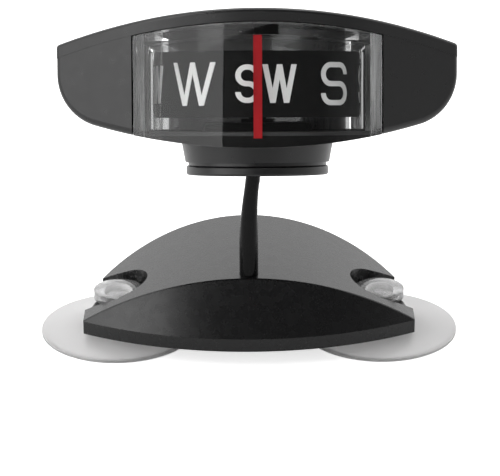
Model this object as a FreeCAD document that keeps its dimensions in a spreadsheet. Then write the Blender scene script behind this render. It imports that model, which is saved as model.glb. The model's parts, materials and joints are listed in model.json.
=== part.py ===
import FreeCAD, Part
import math
import os
from types import SimpleNamespace

from FreeCAD import Placement, Rotation, Vector
from Sketcher import Constraint

# A dashboard compass: a liquid-filled card compass in a wide winged head,
# carried by a ball joint on a slim arm that stands on a base with two suction cups.
# The reading side faces -Y and the rims of the cups lie at Z = 0.
# Lengths are in millimetres and angles in degrees.

doc = FreeCAD.newDocument("dashboard_compass")
sheet = doc.addObject("Spreadsheet::Sheet", "sizes")

DRIVING_SIZES = {
    # general
    "overrun": 2.0,
    "running_gap": 0.05,
    "seat_gap": 0.2,
    "cup_line_y": 0.84,
    # suction cups
    "cup_half_gap": 36.8,
    "cup_rim_reach": 22.0,
    "cup_rim_height": 0.7,
    "cup_rim_width": 1.6,
    "cup_shoulder_reach": 4.8,
    "cup_shoulder_z": 6.85,
    "cup_neck_reach": 3.5,
    "cup_hollow_rise": 2.8,
    "knob_reach": 6.9,
    "knob_side": 2.4,
    "knob_crown": 1.6,
    # base shell
    "base_half_length": 46.0,
    "base_wall": 2.0,
    "base_side_back_y": 3.6,
    "base_rear_y": 32.7,
    "lip_bottom_z": 4.5,
    "lip_height": 3.75,
    "lip_corner_y": -12.6,
    "lip_bow": 11.9,
    "arch_rise": 12.8,
    "arch_end_rise": 0.15,
    "slot_reach": 8.3,
    "slot_turn": 20.0,
    "slot_mouth": 4.6,
    "shelf_thick": 3.1,
    "cup_clear": 0.35,
    "rim_round": 0.7,
    # arm and its foot
    "arm_y": -9.0,
    "arm_foot_reach": 2.6,
    "arm_shaft_reach": 2.48,
    "arm_top_reach": 2.0,
    "arm_neck_reach": 1.45,
    "arm_end_z": 9.0,
    "arm_straight_z": 23.0,
    "arm_taper_low_z": 34.0,
    "arm_taper_high_z": 45.0,
    "arm_bend_z": 32.0,
    "arm_side_lean": 2.4,
    "arm_neck_drop": 7.5,
    "arm_tenon_reach": 1.5,
    "arm_boss_reach": 4.6,
    "foot_plate_length": 20.0,
    "foot_plate_width": 10.0,
    "foot_plate_thick": 2.0,
    "foot_screw_half_gap": 7.0,
    "foot_boss_reach": 2.6,
    "foot_screw_back": 2.5,
    "foot_screw_depth": 5.0,
    # ball joint and swivel, heights measured up the head's own axis
    "ball_z": 56.5,
    "ball_reach": 3.8,
    "ball_height": 5.6,
    "liner_thick": 1.04,
    "liner_gap": 0.04,
    "liner_mouth_angle": 60.0,
    "liner_split": 0.1,
    "disc_reach": 19.15,
    "disc_thick": 2.55,
    "disc_round": 0.6,
    "disc_bore_low": 6.0,
    "disc_bore_high": 4.6,
    "hub_reach": 8.6,
    "hub_flange_reach": 11.0,
    "hub_flange_low": 7.0,
    "hub_flange_thick": 1.6,
    "cap_reach": 6.9,
    "cap_seat_height": 6.2,
    "cap_roof": 0.8,
    "washer_thick": 0.4,
    "collar_groove_reach": 18.6,
    "collar_groove_top": 3.45,
    "collar_low_reach": 19.4,
    "collar_high_reach": 20.55,
    "collar_high": 9.6,
    "collar_recess_reach": 11.4,
    "collar_screw_circle": 15.0,
    "collar_screw_count": 3,
    "disc_screw_circle": 7.4,
    "disc_screw_count": 3,
    "disc_screw_tip": 6.0,
    "collar_screw_turn": 30.0,
    "collar_screw_head": 3.1,
    "collar_screw_tip": 10.2,
    # small screws
    "screw_reach": 0.7,
    "screw_head_reach": 1.15,
    "screw_head_height": 1.0,
    "screw_slot_width": 0.5,
    "screw_slot_depth": 0.45,
    "big_screw_reach": 1.2,
    "big_screw_head_reach": 2.2,
    "big_screw_head_height": 1.4,
    # head outline seen from the front
    "head_half_width": 52.9,
    "head_bottom": 7.65,
    "head_bottom_bow_radius": 160.0,
    "head_corner_radius": 14.0,
    "parting_peak": 40.0,
    "parting_end_drop": 8.8,
    "cover_peak": 43.4,
    "cover_end_drop": 8.8,
    # head outline seen from above
    "wing_inner_x": 33.0,
    "wing_inner_y": -22.2,
    "wing_end_y": -10.9,
    "head_rear_start_y": -8.4,
    "head_rear_y": 34.0,
    "head_wall": 1.8,
    "wing_edge_round": 1.8,
    "cover_overhang": 0.1,
    "cover_skin": 1.8,
    "cover_edge_round": 1.1,
    "cover_corner_round": 1.6,
    "cover_pocket_reach": 27.0,
    # clear bowl and lens
    "bowl_reach": 28.2,
    "bowl_wall": 2.0,
    "bowl_top_wall": 3.3,
    "bowl_floor_height": 11.7,
    "lens_half_width": 32.2,
    "lens_back_y": -12.0,
    "lens_wing_gap": 0.45,
    "lens_top_gap": 0.25,
    "lens_edge_round": 0.5,
    "flange_half_width": 35.4,
    "flange_front_y": -18.4,
    "flange_low_height": 13.5,
    "flange_high_height": 35.6,
    "floor_rim_step": 1.3,
    "gasket_thick": 1.0,
    "floor_hub_reach": 11.6,
    "floor_hub_height": 12.2,
    "floor_dome_reach": 13.4,
    "floor_dome_height": 14.0,
    "floor_dome_top_reach": 12.6,
    "diaphragm_y": 20.0,
    "diaphragm_reach": 5.0,
    "diaphragm_thick": 0.7,
    "diaphragm_port_reach": 3.4,
    "diaphragm_ring_low": 7.8,
    "diaphragm_ring_thick": 0.8,
    "plug_x": 2.0,
    "plug_y": -8.0,
    "plug_head_reach": 8.0,
    "plug_head_thick": 1.0,
    "plug_shank_reach": 3.0,
    "plug_round": 0.6,
    "lubber_width": 2.2,
    "lubber_thick": 0.8,
    "lubber_low": 10.1,
    # card and its pivot
    "card_reach": 25.0,
    "card_skin": 1.2,
    "card_low": 15.4,
    "card_high": 32.6,
    "card_spider_drop": 2.4,
    "card_spider_thick": 1.2,
    "card_window_reach": 3.6,
    "card_window_circle": 16.0,
    "card_window_count": 4,
    "card_hub_reach": 3.6,
    "card_hub_low": 27.0,
    "letter_height": 11.2,
    "small_letter_height": 9.9,
    "letter_centre": 24.1,
    "letter_stroke": 1.35,
    "letter_proud": 0.2,
    "letter_gap": 0.8,
    "card_heading": 230.0,
    "post_foot_reach": 4.0,
    "post_top_reach": 2.2,
    "post_foot_thick": 1.0,
    "post_high": 22.0,
    "pin_low": 18.0,
    "pin_reach": 0.6,
    "pin_point_high": 28.2,
    "pin_cone": 2.0,
    "jewel_reach": 1.8,
    "jewel_low": 26.6,
    "jewel_mouth_reach": 1.4,
    "magnet_length": 24.0,
    "magnet_width": 3.0,
    "magnet_height": 2.4,
    "magnet_half_gap": 8.0,
    # compensators
    "rotor_height": 21.0,
    "rotor_reach": 3.0,
    "rotor_length": 9.0,
    "rotor_recess": 3.5,
    "rotor_boss_wall": 1.6,
    "rotor_boss_length": 4.5,
    "rotor_slot_width": 0.9,
    "rotor_slot_depth": 1.1,
    "rotor_magnet_length": 8.0,
    "rotor_magnet_reach": 1.1,
    "rotor_magnet_back": 2.2,
    # posts for the cover screws
    "side_post_inset": 8.9,
    "side_post_y": -1.5,
    "rear_post_x": 26.0,
    "rear_post_inset": 3.9,
    "post_reach": 2.9,
    "side_screw_height": 18.0,
    "rear_screw_height": 13.0,
    "cover_screw_bite": 1.7,
    # how far the head leans back at rest
    "head_tilt": 20.0,
}

for row, (name, number) in enumerate(DRIVING_SIZES.items(), start=1):
    sheet.set(f"A{row}", name)
    sheet.set(f"B{row}", str(number))
    sheet.setAlias(f"B{row}", name)
doc.recompute()


class Size(float):
    """A number that keeps the sheet formula it was worked out by."""

    def __new__(cls, number, text):
        made = super().__new__(cls, number)
        made.text = text
        return made

    def __add__(self, other):
        return joined(self, "+", other, float(self) + float(other))

    def __radd__(self, other):
        return joined(other, "+", self, float(other) + float(self))

    def __sub__(self, other):
        return joined(self, "-", other, float(self) - float(other))

    def __rsub__(self, other):
        return joined(other, "-", self, float(other) - float(self))

    def __mul__(self, other):
        return joined(self, "*", other, float(self) * float(other))

    def __rmul__(self, other):
        return joined(other, "*", self, float(other) * float(self))

    def __truediv__(self, other):
        return joined(self, "/", other, float(self) / float(other))

    def __neg__(self):
        return joined(ZERO, "-", self, -float(self))


def formula(value):
    """The sheet formula of a size, or a plain number as text."""
    return value.text if isinstance(value, Size) else repr(float(value))


def joined(left, sign, right, number):
    """Two sizes joined by an arithmetic sign."""
    return Size(number, f"({formula(left)} {sign} {formula(right)})")


def sine(angle):
    """Sine of an angle in degrees."""
    return Size(math.sin(math.radians(angle)), f"sin({formula(angle)} * 1 deg)")


def cosine(angle):
    """Cosine of an angle in degrees."""
    return Size(math.cos(math.radians(angle)), f"cos({formula(angle)} * 1 deg)")


def root(value):
    """Square root of a size."""
    return Size(math.sqrt(value), f"sqrt({formula(value)})")


ZERO = Size(0.0, "0")
s = SimpleNamespace(**{name: Size(sheet.get(name), f"sizes.{name}") for name in DRIVING_SIZES})
nodes = []


# Small helpers that bind objects to the sheet


def bind(thing, **values):
    """Ties properties of an object to their sheet formulas."""
    for name, value in values.items():
        thing.setExpression(name, formula(value))


def place(thing, x, y, z):
    """Puts an object at a point that follows the sheet."""
    thing.Placement.Base = Vector(x, y, z)
    for axis, value in zip("xyz", (x, y, z)):
        thing.setExpression(f"Placement.Base.{axis}", formula(value))


def cylinder(name, reach, low, high, x=ZERO, y=ZERO):
    """Upright cylinder between two heights."""
    made = doc.addObject("Part::Cylinder", name)
    bind(made, Radius=reach, Height=high - low)
    place(made, x, y, low)
    return made


def cylinder_along_y(name, reach, front, back, x, z):
    """Cylinder that lies front to back."""
    made = doc.addObject("Part::Cylinder", name)
    made.Placement = Placement(Vector(), Rotation(Vector(-1, 0, 0), 90))
    bind(made, Radius=reach, Height=back - front)
    place(made, x, front, z)
    return made


def cone(name, low_reach, high_reach, low, high, x=ZERO, y=ZERO):
    """Upright cone between two heights."""
    made = doc.addObject("Part::Cone", name)
    bind(made, Radius1=low_reach, Radius2=high_reach, Height=high - low)
    place(made, x, y, low)
    return made


def sphere(name, reach, z):
    """Ball on the axis at a height."""
    made = doc.addObject("Part::Sphere", name)
    bind(made, Radius=reach)
    place(made, ZERO, ZERO, z)
    return made


def box(name, low_corner, high_corner):
    """Box between two corners."""
    made = doc.addObject("Part::Box", name)
    spans = [high - low for low, high in zip(low_corner, high_corner)]
    bind(made, Length=spans[0], Width=spans[1], Height=spans[2])
    place(made, *low_corner)
    return made


def fuse(name, *pieces):
    """Several objects joined into one."""
    made = doc.addObject("Part::MultiFuse", name)
    made.Shapes = list(pieces)
    return made


def cut(name, base, *tools):
    """One object with others taken away."""
    made = doc.addObject("Part::Cut", name)
    made.Base = base
    made.Tool = tools[0] if len(tools) == 1 else fuse(f"{name}_tools", *tools)
    return made


def common(name, first, second):
    """What two objects share."""
    made = doc.addObject("Part::Common", name)
    made.Base = first
    made.Tool = second
    return made


def group(name, pieces):
    """Separate solids kept in one node."""
    made = doc.addObject("Part::Compound", name)
    made.Links = list(pieces)
    return made


def helper_shape(name, shape):
    """A shape worked out in code that other objects are cut with."""
    made = doc.addObject("Part::Feature", name)
    made.Shape = shape
    return made


def outline_sketch(body, name, corners):
    """A closed upright outline; a corner with four values is reached by an arc through its last two."""
    sketch = body.newObject("Sketcher::SketchObject", name)
    plane = [item for item in body.Origin.OriginFeatures if item.Role == "XZ_Plane"][0]
    sketch.AttachmentSupport = (plane, [""])
    sketch.MapMode = "FlatFace"
    starts = []
    for index, corner in enumerate(corners):
        begin = Vector(corners[index - 1][0], corners[index - 1][1], 0)
        end = Vector(corner[0], corner[1], 0)
        if len(corner) == 4:
            middle = Vector(corner[2], corner[3], 0)
            edge = sketch.addGeometry(Part.Arc(begin, middle, end), False)
            point = sketch.addGeometry(Part.Point(middle), True)
            sketch.addConstraint(Constraint("PointOnObject", point, 1, edge))
            pin_point(sketch, point, 1, corner[2], corner[3])
        else:
            edge = sketch.addGeometry(Part.LineSegment(begin, end), False)
        gaps = [sketch.getPoint(edge, end).distanceToPoint(begin) for end in (1, 2)]
        forward = gaps[0] < gaps[1]
        starts.append((edge, 1, 2) if forward else (edge, 2, 1))
    for index, corner in enumerate(corners):
        edge, _, end = starts[index]
        following, start, _ = starts[(index + 1) % len(corners)]
        sketch.addConstraint(Constraint("Coincident", edge, end, following, start))
        pin_point(sketch, edge, end, corner[0], corner[1])
    return sketch


def pin_point(sketch, edge, end, across, up):
    """Holds one point of a sketch at sizes from the sheet."""
    for value, kind, axis in ((across, "DistanceX", -2), (up, "DistanceY", -1)):
        if value == 0:
            sketch.addConstraint(Constraint("PointOnObject", edge, end, axis))
        else:
            index = sketch.addConstraint(Constraint(kind, -1, 1, edge, end, float(value)))
            sketch.setExpression(f"Constraints[{index}]", formula(value))


def turned(name, corners):
    """A body turned about its upright axis from an outline of reach and height."""
    body = doc.addObject("PartDesign::Body", name)
    sketch = outline_sketch(body, f"{name}_outline", corners)
    turn = body.newObject("PartDesign::Revolution", f"{name}_turn")
    turn.Profile = sketch
    turn.ReferenceAxis = (sketch, ["V_Axis"])
    turn.Angle = 360
    sketch.Visibility = False
    return body


def seat(thing, frame, x=ZERO, y=ZERO, z=ZERO):
    """Places an object in the base's or the head's frame."""
    tilt = frame.tilt
    thing.Placement = Placement(Vector(), Rotation(Vector(-1, 0, 0), tilt))
    if tilt:
        thing.setExpression("Placement.Rotation.Angle", formula(tilt))
    across = frame.x + x
    back = frame.y + y * cosine(tilt) + z * sine(tilt)
    up = frame.z + z * cosine(tilt) - y * sine(tilt)
    place(thing, across, back, up)


def keep(thing, node, frame, x=ZERO, y=ZERO, z=ZERO):
    """Names a finished sub-part and puts it where it belongs."""
    thing.Label = node
    seat(thing, frame, x, y, z)
    nodes.append(thing)


def keep_shape(node, shape, frame):
    """A finished sub-part whose shape was worked out in code."""
    made = doc.addObject("Part::Feature", f"{node}_shape")
    made.Shape = shape
    keep(made, node, frame)


def solid_of(shape):
    """The one solid of a boolean result, tidied."""
    return shape.removeSplitter().Solids[0]


def arc_edge(first, middle, last):
    """An arc edge through three points."""
    return Part.Arc(Vector(*first), Vector(*middle), Vector(*last)).toShape()


def line(first, last):
    """A straight edge."""
    return Part.makeLine(Vector(*first), Vector(*last))


def arch_radius(half_span, drop):
    """Radius of an arc that drops from its peak over half its span."""
    return (half_span * half_span + drop * drop) / (2 * drop)


def arch_height(half_span, drop, peak, x):
    """Height of an arch away from its peak."""
    radius = arch_radius(half_span, drop)
    return peak - radius + root(radius * radius - x * x)


def arch(half_span, drop, peak, inset):
    """Everything under an arch that runs front to back."""
    radius = arch_radius(half_span, drop)
    start = Vector(0, -FAR, peak - radius)
    return Part.makeCylinder(radius - inset, 2 * FAR, start, Vector(0, 1, 0))


def circle_places(count, circle, turn=ZERO):
    """Even places on a circle."""
    places = []
    for index in range(int(count)):
        angle = turn + Size(360 * index, repr(360 * index)) / count
        places.append((circle * cosine(angle), circle * sine(angle)))
    return places


def screw(name, x, y, head_low, reach, head_reach, head_height, tip):
    """A slotted screw that points up, its head below."""
    head = cylinder(f"{name}_head", head_reach, head_low, head_low + head_height, x, y)
    shank = cylinder(f"{name}_shank", reach, head_low + head_height, tip, x, y)
    blank = fuse(f"{name}_blank", head, shank)
    low = (x - head_reach, y - s.screw_slot_width / 2, head_low)
    high = (x + head_reach, y + s.screw_slot_width / 2, head_low + s.screw_slot_depth)
    return cut(name, blank, box(f"{name}_slot", low, high))


# Frames of the base and of the tilted head

BASE_FRAME = SimpleNamespace(x=ZERO, y=s.cup_line_y, z=ZERO, tilt=ZERO)
HEAD_FRAME = SimpleNamespace(
    x=s.arm_side_lean,
    y=s.cup_line_y + s.arm_y - s.ball_height * sine(s.head_tilt),
    z=s.ball_z - s.ball_height * cosine(s.head_tilt),
    tilt=s.head_tilt,
)
QUARTER_SHARE = 1 - math.sqrt(0.5)
FAR = 3 * s.base_half_length


# Base: suction cups, shell, arm and its foot

LIP_TOP = s.lip_bottom_z + s.lip_height
ARCH_PEAK = LIP_TOP + s.arch_rise
SHELF_LOW = s.cup_shoulder_z
SHELF_TOP = SHELF_LOW + s.shelf_thick
CUP_SLOPE_SHARE = 0.46
FRONT_RUN_SHARE = 1.5


def cap_middle(reach, base, crown):
    """Middle point of the arc from the edge of a shallow round cap to its top on the axis."""
    radius = (reach * reach + crown * crown) / (2 * crown)
    return reach / 2, base + crown - radius + root(radius * radius - reach * reach / 4)


def suction_cup(node, side):
    """Soft cup with a hollow underside, a neck, and a grip knob on top."""
    hollow_reach = s.cup_rim_reach - s.cup_rim_width
    knob_edge = SHELF_TOP + s.knob_side
    slope_z = s.cup_rim_height + CUP_SLOPE_SHARE * (s.cup_shoulder_z - s.cup_rim_height)
    outline = [
        (ZERO, s.cup_hollow_rise),
        (hollow_reach, ZERO, *cap_middle(hollow_reach, ZERO, s.cup_hollow_rise)),
        (s.cup_rim_reach, ZERO),
        (s.cup_rim_reach, s.cup_rim_height),
        (s.cup_shoulder_reach, s.cup_shoulder_z, (s.cup_rim_reach + s.cup_shoulder_reach) / 2, slope_z),
        (s.cup_neck_reach, s.cup_shoulder_z),
        (s.cup_neck_reach, SHELF_TOP),
        (s.knob_reach, SHELF_TOP),
        (s.knob_reach, knob_edge),
        (ZERO, knob_edge + s.knob_crown, *cap_middle(s.knob_reach, knob_edge, s.knob_crown)),
    ]
    keep(turned(f"cup_{node}", outline), node, BASE_FRAME, x=side * s.cup_half_gap)


def base_front_radius():
    """Radius of the lip seen from above."""
    return (s.base_half_length**2 + s.lip_bow**2) / (2 * s.lip_bow)


def base_plan(inset, z):
    """The base seen from above: bowed front, short sides and a round rear."""
    reach = s.base_half_length - inset
    centre_y = s.lip_corner_y - s.lip_bow + base_front_radius()
    front = base_front_radius() - inset
    full_rear = arch_radius(s.base_half_length, s.base_rear_y - s.base_side_back_y)
    rear = full_rear - inset
    rear_centre_y = s.base_rear_y - full_rear
    side_front = centre_y - math.sqrt(front**2 - reach**2)
    side_back = rear_centre_y + math.sqrt(rear**2 - reach**2)
    edges = [
        arc_edge((-reach, side_front, z), (0, centre_y - front, z), (reach, side_front, z)),
        line((reach, side_front, z), (reach, side_back, z)),
        arc_edge((reach, side_back, z), (0, rear_centre_y + rear, z), (-reach, side_back, z)),
        line((-reach, side_back, z), (-reach, side_front, z)),
    ]
    return Part.Face(Part.Wire(edges))


def base_front_run(inset):
    """Everything behind the sloped front wall, above the lip."""
    reach = s.base_half_length + s.overrun
    centre_y = s.lip_corner_y - s.lip_bow + base_front_radius()
    front = base_front_radius() - inset
    side = centre_y - math.sqrt(front**2 - reach**2)
    edges = [
        arc_edge((-reach, side, LIP_TOP), (0, centre_y - front, LIP_TOP), (reach, side, LIP_TOP)),
        line((reach, side, LIP_TOP), (reach, FAR, LIP_TOP)),
        line((reach, FAR, LIP_TOP), (-reach, FAR, LIP_TOP)),
        line((-reach, FAR, LIP_TOP), (-reach, side, LIP_TOP)),
    ]
    slope = Vector(0, s.lip_bow, s.arch_rise)
    return Part.Face(Part.Wire(edges)).extrude(slope * FRONT_RUN_SHARE)


def base_form(inset, low):
    """Solid of the whole base, drawn in by a wall where it is hollow."""
    dome = arch(s.base_half_length, s.arch_rise - s.arch_end_rise, ARCH_PEAK, inset)
    lip = base_plan(inset, low).extrude(Vector(0, 0, LIP_TOP - low))
    whole = base_plan(inset, low).extrude(Vector(0, 0, ARCH_PEAK + s.overrun - low))
    return whole.common(dome).common(lip.fuse(base_front_run(inset))).removeSplitter()


def slot_bar(side, reach, low, high, start):
    """Straight stretch of a cup slot, which runs outward and a little back."""
    bar = Part.makeBox(FAR, 2 * reach, high - low, Vector(start, -reach, 0))
    turn = s.slot_turn if side > 0 else 180 - s.slot_turn
    bar.Placement = Placement(Vector(side * s.cup_half_gap, 0, low), Rotation(Vector(0, 0, 1), turn))
    return bar


def slot(side, reach, low, high):
    """Cup slot with a round inner end."""
    end = Part.makeCylinder(reach, high - low, Vector(side * s.cup_half_gap, 0, low))
    return end.fuse(slot_bar(side, reach, low, high, 0))


def cup_clearance(side):
    """Room over the sloping top of a suction cup."""
    low = s.lip_bottom_z - s.overrun
    slope = (s.cup_rim_reach - s.cup_shoulder_reach) / (s.cup_shoulder_z - s.cup_rim_height)
    edge_z = s.cup_rim_height + s.cup_clear
    low_reach = s.cup_rim_reach - (low - edge_z) * slope
    high_reach = s.cup_rim_reach - (SHELF_LOW - edge_z) * slope
    return Part.makeCone(low_reach, high_reach, SHELF_LOW - low, Vector(side * s.cup_half_gap, 0, low))


def foot_screw_places():
    """Screws on both sides of the arm's foot."""
    y = s.arm_y + s.foot_screw_back
    return [(side * s.foot_screw_half_gap, y) for side in (-1, 1)]


def base_shell():
    """Arched shell with a slot and a shelf for each cup, and bosses for the arm."""
    outer = base_form(0, s.lip_bottom_z)
    edge_y = s.lip_corner_y - s.rim_round
    arch_edges = [e for e in outer.Edges if on_arch_edge(e, edge_y)]
    outer = outer.makeFillet(s.rim_round, arch_edges)
    top = ARCH_PEAK + s.overrun
    bosses = [Part.makeCylinder(s.arm_boss_reach, top - s.arm_end_z, Vector(0, s.arm_y, s.arm_end_z))]
    for x, y in foot_screw_places():
        bosses.append(Part.makeCylinder(s.foot_boss_reach, top - s.arm_end_z, Vector(x, y, s.arm_end_z)))
    for side in (-1, 1):
        bosses.append(slot(side, s.slot_reach + s.base_wall, SHELF_LOW, top))
    shell = outer.cut(base_form(s.base_wall, s.lip_bottom_z - s.overrun))
    shell = shell.fuse([boss.common(outer) for boss in bosses])
    below = s.lip_bottom_z - s.overrun
    cuts = []
    for side in (-1, 1):
        cuts.append(slot(side, s.slot_reach, SHELF_TOP, top))
        cuts.append(slot_bar(side, s.slot_reach, below, top, s.slot_mouth))
        cuts.append(slot(side, s.cup_neck_reach + s.running_gap, below, top))
        cuts.append(cup_clearance(side))
    arm_bore = s.arm_foot_reach + s.running_gap
    cuts.append(Part.makeCylinder(arm_bore, top - s.arm_end_z, Vector(0, s.arm_y, s.arm_end_z)))
    for x, y in foot_screw_places():
        depth = s.foot_screw_depth + s.overrun
        bore = s.screw_reach + s.running_gap
        cuts.append(Part.makeCylinder(bore, depth, Vector(x, y, s.arm_end_z - s.overrun)))
    keep_shape("base_shell", solid_of(shell.cut(cuts)), BASE_FRAME)


def on_arch_edge(edge, edge_y):
    """True for the crease between the dome and the sloped front wall."""
    middle = edge.valueAt((edge.FirstParameter + edge.LastParameter) / 2)
    high = middle.z > LIP_TOP + s.arch_rise / 2
    return high and abs(middle.y - s.lip_corner_y) < s.base_wall and edge.Length > s.base_half_length


def arm_place(z):
    """Centre of the arm at a height, and the direction it runs in."""
    if z <= s.arm_bend_z:
        return Vector(0, s.arm_y, z), Vector(0, 0, 1)
    rise = s.ball_z - s.arm_bend_z
    radius = (rise**2 + s.arm_side_lean**2) / (2 * s.arm_side_lean)
    run = math.sqrt(radius**2 - (z - s.arm_bend_z) ** 2)
    return Vector(radius - run, s.arm_y, z), Vector(z - s.arm_bend_z, 0, run).normalize()


def arm():
    """Slim rod, bent to one side near its top, with a ball on its end."""
    neck_z = s.ball_z - s.arm_neck_drop
    middle_z = (s.arm_taper_low_z + s.arm_taper_high_z) / 2
    middle_reach = (s.arm_shaft_reach + s.arm_top_reach) / 2
    stations = [
        (s.arm_straight_z, s.arm_foot_reach),
        (s.arm_taper_low_z, s.arm_shaft_reach),
        (middle_z, middle_reach),
        (s.arm_taper_high_z, s.arm_top_reach),
        (neck_z, s.arm_top_reach),
    ]
    rings = [Part.Wire(Part.makeCircle(reach, *arm_place(z))) for z, reach in stations]
    rod = Part.makeLoft(rings, True, False)
    foot_length = s.arm_straight_z - s.arm_end_z
    foot = Part.makeCylinder(s.arm_foot_reach, foot_length, Vector(0, s.arm_y, s.arm_end_z))
    tenon_low = s.arm_end_z - s.foot_plate_thick
    tenon = Part.makeCylinder(s.arm_tenon_reach, s.foot_plate_thick, Vector(0, s.arm_y, tenon_low))
    start, way = arm_place(neck_z)
    neck = Part.makeCone(s.arm_top_reach, s.arm_neck_reach, s.arm_neck_drop - s.ball_reach / 2, start, way)
    ball = Part.makeSphere(s.ball_reach, Vector(s.arm_side_lean, s.arm_y, s.ball_z))
    keep_shape("arm", solid_of(rod.fuse([foot, tenon, neck, ball])), BASE_FRAME)


def arm_foot():
    """Steel plate riveted to the arm's end, and the two screws that hold it."""
    low = s.arm_end_z - s.foot_plate_thick
    middle_y = s.arm_y + s.foot_screw_back / 2
    corner = (-s.foot_plate_length / 2, middle_y - s.foot_plate_width / 2, low)
    across = (s.foot_plate_length / 2, middle_y + s.foot_plate_width / 2, s.arm_end_z)
    holes = [cylinder("foot_tenon_hole", s.arm_tenon_reach, low, s.arm_end_z, ZERO, s.arm_y)]
    screws = []
    for index, (x, y) in enumerate(foot_screw_places()):
        bore = s.screw_reach + s.running_gap
        holes.append(cylinder(f"foot_screw_hole_{index}", bore, low, s.arm_end_z, x, y))
        head_low = low - s.screw_head_height
        tip = s.arm_end_z + s.foot_screw_depth
        head = (s.screw_reach, s.screw_head_reach, s.screw_head_height)
        screws.append(screw(f"foot_screw_{index}", x, y, head_low, *head, tip))
    plate = cut("foot_plate_cut", box("foot_plate_blank", corner, across), *holes)
    keep(plate, "arm_foot_plate", BASE_FRAME)
    keep(group("foot_screw_pair", screws), "foot_screws", BASE_FRAME)


# Ball joint and swivel, in the head's frame


def liner_half(node, keep_low):
    """One half of the thin shell between the ball and its seat."""
    inner = s.ball_reach + s.liner_gap
    outer = s.ball_reach + s.liner_thick
    ball = sphere(f"{node}_outer", outer, s.ball_height)
    shell = cut(f"{node}_shell", ball, sphere(f"{node}_inner", inner, s.ball_height))
    far = 2 * outer
    if keep_low:
        above = cylinder(f"{node}_above", far, s.ball_height - s.liner_split / 2, s.ball_height + far)
        half = cut(f"{node}_half", shell, above, joint_mouth(f"{node}_mouth"))
    else:
        below = cylinder(f"{node}_below", far, s.ball_height - far, s.ball_height + s.liner_split / 2)
        half = cut(f"{node}_half", shell, below)
    keep(half, node, HEAD_FRAME)


def socket_reach():
    """Reach of the round seat that holds the liner."""
    return s.ball_reach + s.liner_thick + s.running_gap


def joint_mouth(name):
    """Cone under the ball that leaves room for the arm's neck."""
    far = 2 * (s.ball_reach + s.liner_thick)
    mouth_reach = far * sine(s.liner_mouth_angle) / cosine(s.liner_mouth_angle)
    return cone(name, mouth_reach, ZERO, s.ball_height - far, s.ball_height)


def mount_disc():
    """Thin round disc under the head, with rounded rims and screw seats."""
    edge = s.disc_round * QUARTER_SHARE
    rim = s.disc_reach - s.disc_round
    high = s.disc_thick - s.disc_round
    outline = [
        (s.disc_bore_low, ZERO),
        (rim, ZERO),
        (s.disc_reach, s.disc_round, s.disc_reach - edge, edge),
        (s.disc_reach, high),
        (rim, s.disc_thick, s.disc_reach - edge, s.disc_thick - edge),
        (s.disc_bore_high, s.disc_thick),
    ]
    plate = turned("disc_plate", outline)
    seat_reach = s.screw_head_reach + s.running_gap
    hole_reach = s.screw_reach + s.running_gap
    seat_top = s.screw_head_height + s.seat_gap
    through = s.disc_thick + s.overrun
    tools = []
    screws = []
    for index, (x, y) in enumerate(circle_places(s.disc_screw_count, s.disc_screw_circle)):
        tools.append(cylinder(f"disc_seat_{index}", seat_reach, -s.overrun, seat_top, x, y))
        tools.append(cylinder(f"disc_hole_{index}", hole_reach, -s.overrun, through, x, y))
        head = (s.screw_reach, s.screw_head_reach, s.screw_head_height)
        screws.append(screw(f"disc_screw_{index}", x, y, s.seat_gap, *head, s.disc_screw_tip))
    keep(cut("disc_cut", plate, *tools), "mount_disc", HEAD_FRAME)
    keep(group("disc_screw_set", screws), "disc_screws", HEAD_FRAME)


def swivel_hub():
    """Flanged hub with the lower half of the ball seat."""
    flange_top = s.hub_flange_low + s.hub_flange_thick
    shaft = cylinder("hub_shaft", s.hub_reach, s.disc_thick, s.hub_flange_low)
    flange = cylinder("hub_flange", s.hub_flange_reach, s.hub_flange_low, flange_top)
    tools = [
        sphere("hub_seat", socket_reach(), s.ball_height),
        joint_mouth("hub_mouth"),
        cylinder("hub_entry", socket_reach(), s.ball_height, flange_top + s.overrun),
        cylinder("hub_cap_bore", s.cap_reach + s.running_gap, s.cap_seat_height, flange_top + s.overrun),
    ]
    hole_reach = s.screw_reach + s.running_gap
    for index, (x, y) in enumerate(circle_places(s.disc_screw_count, s.disc_screw_circle)):
        tools.append(cylinder(f"hub_hole_{index}", hole_reach, ZERO, s.disc_screw_tip, x, y))
    keep(cut("hub_cut", fuse("hub_blank", shaft, flange), *tools), "swivel_hub", HEAD_FRAME)


def socket_cap():
    """Cap that closes the ball seat from above."""
    top = s.ball_height + socket_reach() + s.cap_roof
    blank = cylinder("cap_blank", s.cap_reach, s.cap_seat_height, top)
    hollow = sphere("cap_seat", socket_reach(), s.ball_height)
    keep(cut("cap_cut", blank, hollow), "socket_cap", HEAD_FRAME)


def friction_washer():
    """Spring washer between the hub's flange and the collar."""
    low = s.hub_flange_low - s.washer_thick
    ring = cylinder("washer_ring", s.hub_flange_reach, low, s.hub_flange_low)
    bore = cylinder("washer_bore", s.hub_reach + s.seat_gap, low, s.hub_flange_low)
    keep(cut("washer_cut", ring, bore), "friction_washer", HEAD_FRAME)


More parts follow.
